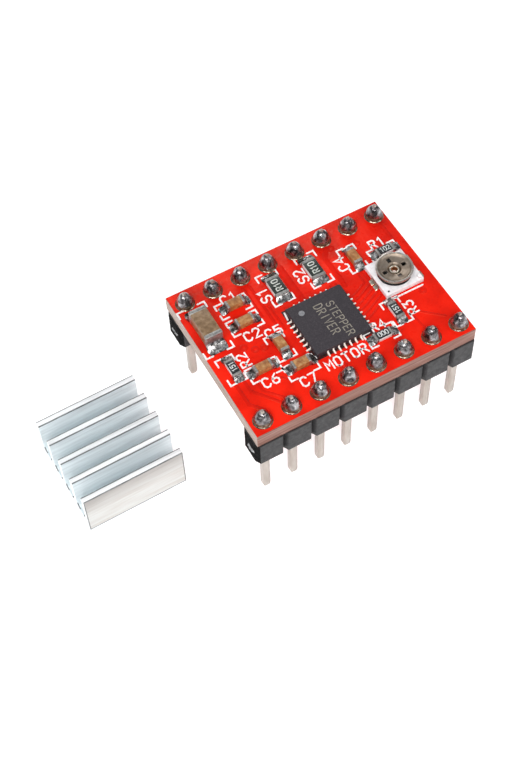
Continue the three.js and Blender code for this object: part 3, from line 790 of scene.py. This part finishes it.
def add_joint(label, rng):
    """A bulging cone of solder, a little lopsided and lumpy, with a glossy wetted ring at its foot."""
    node = f"solder_joint_{label}"
    centre = middle(node)
    centre.z = MASK_TOP
    phases = [rng.uniform(0, 2 * math.pi) for _ in range(4)]
    tall = 1 - rng.uniform(0.0, 0.12)
    lean = Vector((rng.uniform(-0.05, 0.05), rng.uniform(-0.05, 0.05), 0))

    def lumpy(angle, z, radius):
        sag = 0.04 * math.cos(angle + phases[0]) + 0.03 * math.cos(2 * angle + phases[1])
        ripple = 0.03 * math.cos(3 * angle + phases[2] + 2.5 * z)
        ripple += 0.02 * math.cos(5 * angle + phases[3] - 4 * z)
        rise = min(max(z, 0) / 0.35, 1.0)
        return radius * (1 + (sag + ripple) * rise)

    turns = [2 * math.pi * i / CONE_SIDES for i in range(CONE_SIDES)]
    rings = []
    for radius, z in CONE:
        slip = centre + lean * max(z, 0)
        ring = [(t, lumpy(t, z, radius)) for t in turns]
        rings.append([slip + Vector((r * math.cos(t), r * math.sin(t), z * tall)) for t, r in ring])
    shape = Shape()
    for face in shape.loft(rings)[: CONE_SIDES * CONE_WETTED]:
        face.material_index = 1
    shape.lathe(centre, FLUX_RING, CONE_SIDES, 2)
    shape.piece(f"{node}_cone", [JOINT, FLUX, FLUX_GLOSS], "solder", (node,), smooth=60)


# ---- small parts

PAD_SOLDER = 0.045
FILLET_STEPS = 7
PROUD = 0.025  # how far the end caps stand out of the body between them
GLAZE = 0.09  # how far a resistor's plate stays below its top, to leave room for the glaze
CODE_INK = 0.008


def fillet(shape, x, y, half_width, height, reach, toward, along_y, rng, material=0):
    """A concave wedge of solder from the end of a part down to the far edge of its pad."""
    rings = []
    for i in range(FILLET_STEPS + 1):
        t = i / FILLET_STEPS
        z = MASK_THICKNESS + PAD_SOLDER + height * (1 - t) ** 2.2
        wide = half_width * (1.0 + 0.08 * math.sin(math.pi * t) - 0.1 * t ** 6)
        wide *= rng.uniform(0.98, 1.02)
        out = toward * (reach * t - 0.04)
        crown = wide * 0.84
        section = [(-wide, 0.0), (wide, 0.0), (wide, z * 0.6), (crown, z), (-crown, z), (-wide, z * 0.6)]
        ring = [(across, out, up) if along_y else (out, across, up) for across, up in section]
        rings.append([(x + dx, y + dy, TOP + up) for dx, dy, up in ring])
    shape.loft(rings, material)


def add_chip_part(node, body_material, cap, slot, code="", code_material=None, under=None):
    """A surface-mount part: ceramic body, two metal end caps and the solder at both ends.

    With under given, it is a resistor: a plate of that material, with the body material as its glaze.
    """
    rng = random.Random(node)
    low, high = box_mm(node)
    centre = (low + high) / 2
    along_y = (high.y - low.y) > (high.x - low.x)
    length = max(high.x - low.x, high.y - low.y)
    width = min(high.x - low.x, high.y - low.y)
    height = high.z - low.z
    shape = Shape()

    def block(x0, x1, half, z0, z1, material, bevel):
        """A block along the part's own length, turned to lie along X or Y."""
        a, b = ((-half, x0), (half, x1)) if along_y else ((x0, -half), (x1, half))
        corner = (centre.x + a[0], centre.y + a[1], TOP + z0)
        shape.block(corner, (centre.x + b[0], centre.y + b[1], TOP + z1), bevel, 3, material)

    half_length, half_width = length / 2, width / 2
    inner = half_length - cap
    if under:
        block(-half_length + 0.04, half_length - 0.04, half_width - PROUD, 0.03, height - GLAZE, 4, 0.02)
        block(-inner - 0.02, inner + 0.02, half_width - PROUD - 0.03, height - 0.1, height - 0.02, 0, 0.02)
        cap_half, cap_bottom, cap_top, cap_round = half_width - 0.01, 0.01, height - 0.055, 0.05
    else:
        block(-half_length + 0.05, half_length - 0.05, half_width - PROUD, 0.03, height - PROUD, 0, 0.05)
        cap_half, cap_bottom, cap_top, cap_round = half_width, 0.0, height, 0.08
    for start, end in ((-half_length, -inner), (inner, half_length)):
        block(start, end, cap_half, cap_bottom, cap_top, 1, cap_round)
    reach = 0.6 if height < 1 else 0.85
    for toward in (-1, 1):
        end = toward * half_length
        x, y = (centre.x, centre.y + end) if along_y else (centre.x + end, centre.y)
        fillet(shape, x, y, half_width * 1.06, min(height * 0.55, 0.55), reach, toward, along_y, rng, 2)
    size = width * (0.5 if width < 1 else 0.42)
    level = TOP + height - 0.02
    degrees = 90 if along_y else 0
    letter(shape, code, centre, size, size * 0.17, level - 0.02, level + CODE_INK, degrees, 3, 0.24, 0.9)
    materials = [body_material, END_CAP, FILLET, code_material or END_CAP, under or body_material]
    shape.piece(f"{node}_soldered", materials, slot, (node,), smooth=40)


# ---- driver chip

LEADS_PER_SIDE = 7
LEAD_PITCH = 0.5
LEAD_WIDTH = 0.14
LEAD_REACH = 0.42
LEAD_HEIGHT = 0.32
SHADOW_BAND_MARGIN = 0.24
DIMPLE = [(0.26, -0.01), (0.25, 0.003), (0.22, 0.004), (0.05, 0.002)]


def add_chip():
    """The marked moulding, its leads on all four sides, and a dark band on the board round the body, which is
    painted shadow.
    """
    low, high = box_mm("chip_body")
    centre = (low + high) / 2
    half = (high.x - low.x) / 2
    body = Shape()
    body.block((low.x, low.y, low.z + 0.02), high, 0.05, 3)
    body.lathe((centre.x - 1.55, centre.y + 1.5, high.z), DIMPLE, 28, 2)
    bottom, top = high.z - 0.01, high.z + 0.004
    first_line = Vector((centre.x + 0.88, centre.y - 0.42))
    second_line = Vector((centre.x - 0.09, centre.y + 0.035))
    letter(body, "STEPPER", first_line, 0.64, 0.075, bottom, top, -90, 1, 0.29, 0.9)
    letter(body, "DRIVER", second_line, 0.72, 0.08, bottom, top, -90, 1, 0.28, 0.8)
    body.piece("chip_body_marked", [MOULD, MARK, DOT], "mould_compound", ("chip_body",))
    leads = Shape()
    rng = random.Random("leads")
    first = -(LEADS_PER_SIDE - 1) / 2 * LEAD_PITCH
    for along_y, toward in ((False, -1), (False, 1), (True, -1), (True, 1)):
        for i in range(LEADS_PER_SIDE):
            offset = first + i * LEAD_PITCH
            x = centre.x + (offset if along_y else toward * half)
            y = centre.y + (toward * half if along_y else offset)
            # Each lead is drawn in the near-white colour, which paints a glint on it.
            fillet(leads, x, y, LEAD_WIDTH / 2, 0.08, LEAD_REACH, toward, along_y, rng)
            half_x, half_y = (LEAD_WIDTH / 2, 0.02) if along_y else (0.02, LEAD_WIDTH / 2)
            flank_low = (x - half_x, y - half_y, TOP + 0.02)
            leads.block(flank_low, (x + half_x, y + half_y, TOP + LEAD_HEIGHT), 0.008, 1)
    # A dark band on the mask round the body, just wider than it: painted shadow cast by the chip.
    shadow_band_low = (low.x - SHADOW_BAND_MARGIN, low.y - SHADOW_BAND_MARGIN, MASK_TOP - SUNK)
    shadow_band_high = (high.x + SHADOW_BAND_MARGIN, high.y + SHADOW_BAND_MARGIN, MASK_TOP + 0.012)
    leads.block(shadow_band_low, shadow_band_high, 0.004, 1, 1)
    leads.piece("chip_leads", [LEAD, CHIP_SHADOW_BAND], "solder", smooth=40)


# ---- trimmer

STOP_HEIGHT = 0.25
STOP_INSET = 0.12
STOP_SIZE = 0.32
MARK_PIT = [(0.09, -0.02), (0.09, 0.004), (0.03, 0.003)]
RING_INNER = 0.6
RING_OUTER = 1.42
RING_THICKNESS = 0.012
RING_GAP = 4  # degrees that the resistive ring leaves open on either side of +X
RING_STEPS = 84


def add_trimmer_base():
    """The ceramic base with its stop and resistive ring, and the solder at its terminals."""
    low, high = box_mm("trimmer_base")
    floor_top = high.z - STOP_HEIGHT
    centre = middle("trimmer_eyelet")
    base = Shape()
    base.block(low, (high.x, high.y, floor_top), 0.05, 3)
    stop = (high.x - STOP_INSET, low.y + STOP_INSET)
    stop_low = (stop[0] - STOP_SIZE, stop[1], floor_top - 0.05)
    base.block(stop_low, (stop[0], stop[1] + STOP_SIZE, high.z), 0.08, 3)
    base.lathe((low.x + 0.33, low.y + 0.28, floor_top), MARK_PIT, 20, 1)
    ring = arc(centre.x, centre.y, (RING_INNER + RING_OUTER) / 2, RING_GAP, 360 - RING_GAP, RING_STEPS)
    base.ribbon(ring, RING_OUTER - RING_INNER, floor_top - SUNK, floor_top + RING_THICKNESS, 1)
    base.piece("trimmer_base_fired", [PORCELAIN, TRACK], "trimmer_ceramic", ("trimmer_base",))
    joints = Shape()
    rng = random.Random("trimmer")
    nodes = [f"trimmer_terminal_{name}" for name in ("wiper", "front", "back")]
    for node in nodes:
        t_low, t_high = box_mm(node)
        forked = node == nodes[0]  # the wiper's terminal is soldered at two places
        toward = -1 if forked else 1
        x = t_low.x if forked else t_high.x
        half = (t_high.y - t_low.y) / 2
        joints.block((t_low.x - 0.02, t_low.y, t_low.z), (t_high.x + 0.02, t_high.y, t_high.z), 0.02, 2, 1)
        for part in ((-0.5, 0.5) if forked else (0.0,)):
            y = middle(node).y + part * half
            fillet(joints, x, y, half * (0.42 if forked else 0.9), 0.34, 0.36, toward, False, rng)
    joints.piece("trimmer_terminals_soldered", [LIP, END_CAP], "trimmer_terminal_metal", nodes)


def add_eyelet():
    """A hollow rivet: flange, tube and flared head in pale metal, with a coppery bore."""
    low, high = box_mm("trimmer_eyelet")
    centre = middle("trimmer_eyelet")
    centre.z = 0
    flange = [(0.14, low.z), (0.38, low.z), (0.4, low.z + 0.05), (0.38, low.z + 0.1), (0.25, low.z + 0.11)]
    neck = [(0.25, high.z - 0.14), (0.28, high.z - 0.115), (0.38, high.z - 0.085)]
    head = [(0.4, high.z - 0.05), (0.39, high.z - 0.012), (0.34, high.z), (0.28, high.z - 0.012)]
    bore = [(0.26, high.z - 0.04), (0.21, high.z - 0.12), (0.15, high.z - 0.3)]
    outside = flange + neck + head
    shape = Shape()
    shape.spin(centre, outside + bore, 40, [0] * (len(outside) - 1) + [1] * (len(bore) + 1))
    shape.piece("trimmer_eyelet_flared", [LIP, HOLLOW], "trimmer_brass", ("trimmer_eyelet",), smooth=50)


def cut_away(piece, cutter):
    """Cuts one shape out of a piece and keeps the result as the piece's own mesh."""
    trim = piece.modifiers.new("trim", "BOOLEAN")
    trim.operation = "DIFFERENCE"
    trim.solver = "EXACT"
    trim.object = cutter
    bpy.context.view_layer.update()
    graph = bpy.context.evaluated_depsgraph_get()
    mesh = bpy.data.meshes.new_from_object(piece.evaluated_get(graph))
    piece.modifiers.remove(trim)
    piece.data = mesh
    bpy.data.objects.remove(cutter)


SHEET = 0.17
HUB_THICKNESS = 0.12  # thin enough to turn under the eyelet's flared head
SLOT_HALF = 0.16
SLOT_START = 0.68
SLOT_REACH = 1.08
SHORT_SLOT_REACH = 0.88
ROTOR_SMOOTH = 40


def add_rotor():
    """The dished disc with its well, its turned-down rim and the cross slot for a screwdriver; the rim's edge
    is a brighter copy of the steel, a painted highlight, and the top of the skirt under it is black, a
    painted shade.
    """
    low, high = box_mm("trimmer_rotor")
    centre = middle("trimmer_rotor")
    centre.z = 0
    top, edge = high.z, (high.x - low.x) / 2
    floor = top - SHEET
    hub = low.z + HUB_THICKNESS
    well = [(0.29, hub), (0.4, hub), (0.46, hub + 0.03), (0.55, floor - 0.03), (0.6, floor)]
    dish = [(1.16, floor), (1.24, floor + 0.02), (1.36, top - 0.015), (1.4, top)]
    rim = [(edge - 0.05, top), (edge - 0.015, top - 0.012), (edge, top - 0.04), (edge, top - 0.09)]
    skirt = [(edge - 0.15, top - 0.12), (edge - 0.16, top - 0.29)]
    skirt += [(edge - 0.12, top - 0.31), (edge - 0.12, top - 0.35)]
    inside = [(edge - 0.2, top - 0.35), (edge - 0.21, top - 0.14), (1.2, floor - SHEET)]
    under = [(0.68, floor - SHEET), (0.56, low.z + 0.03), (0.5, low.z), (0.29, low.z)]
    profile = well + dish + rim + skirt + inside + under
    shape = Shape()
    # Rim faces take the brighter copy of the steel, a painted highlight; the two faces below them on the
    # skirt take the black track colour, painted shade under the rim.
    finishes = [0] * (len(well) + len(dish) - 1) + [1] * len(rim) + [2] * 2
    shape.spin(centre, profile, 96, finishes + [0] * (len(profile) - len(finishes)))
    metals = [STEEL, RIM_HIGHLIGHT, TRACK]
    node = ("trimmer_rotor",)
    rotor = shape.piece(
        "trimmer_rotor_dished", metals, "trimmer_rotor_steel", node, "trimmer_dial", smooth=ROTOR_SMOOTH
    )
    tool = Shape()
    for quarter in range(4):
        turned = Matrix.Rotation(quarter * math.pi / 2, 3, "Z")
        reach = SHORT_SLOT_REACH if quarter == 3 else SLOT_REACH
        corners = [(SLOT_START, -SLOT_HALF), (reach, -SLOT_HALF), (reach, SLOT_HALF), (SLOT_START, SLOT_HALF)]
        outline = [centre + turned @ Vector((x, y, 0)) for x, y in corners]
        tool.prism([(p.x, p.y) for p in outline], low.z - 0.2, top + 0.2)
    cut_away(rotor, tool.piece("slot_cutter", [RIM_HIGHLIGHT], body="trimmer_dial"))
    rotor.data.set_sharp_from_angle(angle=math.radians(ROTOR_SMOOTH))


# ---- heat sink

SINK_LENGTH = 8.8
SINK_WIDTH = 8.65
SINK_TURN = 1.0
SINK_BASE = 1.0
FIN_COUNT = 5
FIN_THICKNESS = 0.56
FIN_ROUND = 0.14
CHANNEL_ROUND = 0.42
SINK_LINE = 0.17  # the height of the dark line along the foot of the outer faces, a painted contact shadow
SINK_PARTS = 20  # lengths that the extrusion is divided into, each a little off line
SINK_WANDER = 0.006


def sink_section(height):
    """(y, z, corner) round the extrusion; corner is 1 or 2 on the front or back corner of a fin."""
    half = SINK_WIDTH / 2
    step = (SINK_WIDTH - FIN_THICKNESS) / (FIN_COUNT - 1)
    points = [(-half + 0.04, 0, 0), (half - 0.04, 0, 0), (half, 0.04, 0), (half, SINK_LINE, 0)]
    top = height - FIN_ROUND
    for i in range(FIN_COUNT - 1, -1, -1):
        left = -half + i * step
        right = left + FIN_THICKNESS
        points += [(y, z, 2) for y, z in arc(right - FIN_ROUND, top, FIN_ROUND, 0, 90, 5)]
        points += [(y, z, 1) for y, z in arc(left + FIN_ROUND, top, FIN_ROUND, 90, 180, 5)]
        if i:
            below = left - step + FIN_THICKNESS
            floor = SINK_BASE + CHANNEL_ROUND
            points += [(y, z, 0) for y, z in arc(left - CHANNEL_ROUND, floor, CHANNEL_ROUND, 0, -90, 8)]
            points += [(y, z, 0) for y, z in arc(below + CHANNEL_ROUND, floor, CHANNEL_ROUND, -90, -180, 8)]
    points += [(-half, SINK_LINE, 0), (-half, 0.04, 0)]
    return points


def sink_material(a, b, end):
    """The material number of the strip from section point a to section point b."""
    (y0, z0, corner0), (y1, z1, corner1) = a, b
    # Material 1, the dark edge colour, is painted shade.
    outer = abs(y0 - y1) < 1e-6 and abs(abs(y0) - SINK_WIDTH / 2) < 1e-6
    if outer:
        return 1 if end or max(z0, z1) < SINK_LINE + 0.01 else 4
    if corner0 and corner1:
        flat = 0.02 if corner0 == corner1 == 1 else 1e-6
        return 3 if abs(z0 - z1) < flat else 1
    curved = abs(y0 - y1) > 1e-6 and abs(z0 - z1) > 1e-6
    return 1 if end and curved else 0


def add_heat_sink():
    """The extrusion: pale blue channels with a painted reflection low down, fin tops painted bright as lit,
    dark edges and foot line painted as shade, and sawn ends.
    """
    low, high = box_mm("heat_sink")
    centre = middle("heat_sink")
    section = sink_section(high.z - low.z)
    rng = random.Random("sink")
    inner = [SINK_LENGTH * (k / SINK_PARTS - 0.5) for k in range(1, SINK_PARTS)]
    lip = SINK_LENGTH / 2 - SINK_LINE / 2
    stations = [-SINK_LENGTH / 2, -lip] + inner + [lip, SINK_LENGTH / 2]
    rings = []
    for x in stations:
        wander = rng.uniform(-SINK_WANDER, SINK_WANDER)
        rings.append([(centre.x + x, centre.y + y + wander, low.z + z) for y, z, _ in section])
    shape = Shape()
    faces = shape.loft(rings)
    count = len(section)
    for index, face in enumerate(faces[:-2]):
        i, station = index % count, index // count
        end = station in (0, len(stations) - 2)
        face.material_index = sink_material(section[i], section[(i + 1) % count], end)
    for face in faces[-2:]:
        face.material_index = 2
    shape.turn(centre, SINK_TURN)
    finishes = [FIN, FIN_EDGE_SHADE, SAWN, FIN_TOP_LIT, SINK_SIDE_SHADED_TOP]
    shape.piece(
        "heat_sink_extrusion", finishes, "heat_sink_aluminium", ("heat_sink",), "heat_sink_body", smooth=30
    )


# ---- kept CAD nodes


def keep(node, material):
    """Shows a CAD node as it is, with a finished material."""
    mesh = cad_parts[node].data
    mesh.materials.clear()
    mesh.materials.append(material)


# ---- camera, floor and light

CAMERA_AIM = (-7.503, -2.91)  # from the middle of the pin rows, at the board's top
CAMERA_AZIMUTH = -26.704  # degrees, as are the next two
CAMERA_ELEVATION = 57.035
CAMERA_ROLL = -3.076
CAMERA_DISTANCE = 112.95
CAMERA_LENS = 69.08
CAMERA_SENSOR = 36.0


def direction(azimuth, elevation):
    """The unit vector towards an azimuth, which is 0 at the front, and an elevation, in degrees."""
    a = math.radians(azimuth)
    e = math.radians(elevation)
    return Vector((math.sin(a) * math.cos(e), -math.cos(a) * math.cos(e), math.sin(e)))


def add_camera():
    a = math.radians(CAMERA_AZIMUTH)
    r = math.radians(CAMERA_ROLL)
    back = direction(CAMERA_AZIMUTH, CAMERA_ELEVATION)
    level = Vector((math.cos(a), math.sin(a), 0))
    above = back.cross(level)
    right = level * math.cos(r) + above * math.sin(r)
    upward = above * math.cos(r) - level * math.sin(r)
    data = bpy.data.cameras.new("camera")
    data.sensor_width = CAMERA_SENSOR
    data.lens = CAMERA_LENS
    data.clip_start = 0.005
    data.clip_end = 20.0
    camera = new_object("camera", data)
    turned = Matrix((right, upward, back)).transposed().to_4x4()
    camera.matrix_world = Matrix.Translation((at(*CAMERA_AIM) + back * CAMERA_DISTANCE) * MM) @ turned
    bpy.context.scene.camera = camera


FLOOR_HALF = 10.0  # metres, so that its edges are close to the horizon
FLOOR_DROP = 0.01 * MM  # keeps it clear of the faces that rest on it
FLOOR_PAPER = finish(
    "floor_paper", (0.9, 0.9, 0.9), 0.9, 0.0, (40.0, 2), [(0.3, (0.58, 0.58, 0.58)), (0.7, (0.6, 0.6, 0.6))],
    Specular_IOR_Level=0.1, Emission_Color=(1.0, 1.0, 1.0, 1.0), Emission_Strength=0.72,
)


def add_stage_floor():
    """A plain white sheet that glows a little, so that it stays white under the soft light."""
    mesh = bpy.data.meshes.new("floor")
    sheet = bmesh.new()
    signs = ((-1, -1), (1, -1), (1, 1), (-1, 1))
    sheet.faces.new([sheet.verts.new((x * FLOOR_HALF, y * FLOOR_HALF, -FLOOR_DROP)) for x, y in signs])
    sheet.to_mesh(mesh)
    sheet.free()
    mesh.materials.append(FLOOR_PAPER)
    new_object("floor", mesh)


def add_light(name, azimuth, elevation, distance, size, power):
    """A soft box that faces the object; degrees, millimetres and watts."""
    back = direction(azimuth, elevation)
    data = bpy.data.lights.new(name, "AREA")
    data.shape = "RECTANGLE"
    data.size = size[0] * MM
    data.size_y = size[1] * MM
    data.energy = power
    lamp = new_object(name, data)
    lamp.location = back * distance * MM
    lamp.rotation_mode = "QUATERNION"
    lamp.rotation_quaternion = (-back).to_track_quat("-Z", "Y")


# The room's colours by the sine of the elevation: white up to the horizon, then grey, brighter overhead.
ROOM = [(0.0, (1.0, 1.0, 1.0)), (0.03, (1.0, 1.0, 1.0)), (0.12, (0.24, 0.25, 0.26))]
ROOM += [(0.5, (0.28, 0.29, 0.31)), (1.0, (0.58, 0.6, 0.63))]


def add_studio():
    """An even, slightly cool room with four soft boxes and a small lamp."""
    world = bpy.data.worlds.new("studio")
    world.use_nodes = True
    tree = world.node_tree
    place = tree.nodes.new("ShaderNodeTexCoord")
    split = tree.nodes.new("ShaderNodeSeparateXYZ")
    ramp = tree.nodes.new("ShaderNodeValToRGB")
    fill_ramp(ramp, ROOM)
    tree.links.new(place.outputs["Generated"], split.inputs["Vector"])
    tree.links.new(split.outputs["Z"], ramp.inputs["Fac"])
    tree.links.new(ramp.outputs["Color"], tree.nodes["Background"].inputs["Color"])
    bpy.context.scene.world = world
    bpy.context.scene.view_settings.view_transform = "Standard"
    add_light("key_softbox", -62, 52, 260, (90, 70), 0.24)
    add_light("front_softbox", -20, 50, 280, (110, 80), 0.3)
    add_light("fill_softbox", 45, 35, 280, (120, 120), 0.1)
    add_light("back_softbox", 165, 35, 260, (160, 50), 0.12)
    add_light("front_lamp", -27, 32, 260, (8, 8), 0.05)


# ---- the module

add_camera()
mask_plate(TOP, MASK_TOP).piece("board_mask_top", [MASK], "solder_mask")
add_tracks()
add_legend()
add_underside()
add_heat_pad()
keep("circuit_board", LAMINATE)
for row in ROWS:
    add_strip(row, random.Random(f"strip {row}"))
    for number in range(1, PINS_PER_ROW + 1):
        pin_label = f"{row}_{number}"
        add_pin(pin_label, random.Random(f"pin {pin_label}"))
        add_joint(pin_label, random.Random(f"joint {pin_label}"))
for number in (1, 2, 4, 5, 6, 7):
    add_chip_part(f"capacitor_c{number}", TAN, 0.26, "capacitor_ceramic")
add_chip_part("capacitor_c3", OLIVE, 0.4, "big_capacitor_ceramic")
for number, code in ((1, "102"), (2, "151"), (3, "151"), (4, "000")):
    add_chip_part(f"resistor_r{number}", BLACK_GLAZE, 0.25, "resistor_ceramic", code, CODE_WHITE, ALUMINA)
for number in (1, 2):
    node_name = f"sense_resistor_s{number}"
    add_chip_part(node_name, GREEN_GLAZE, 0.3, "sense_resistor_ceramic", "R10", CODE_GREY, ALUMINA)
add_chip()
keep("chip_thermal_pad", COPPER)
keep("chip_die", SILICON)
add_trimmer_base()
add_eyelet()
add_rotor()
keep("trimmer_wiper", BRASS)
add_heat_sink()
keep("thermal_tape", TAPE)
add_stage_floor()
add_studio()
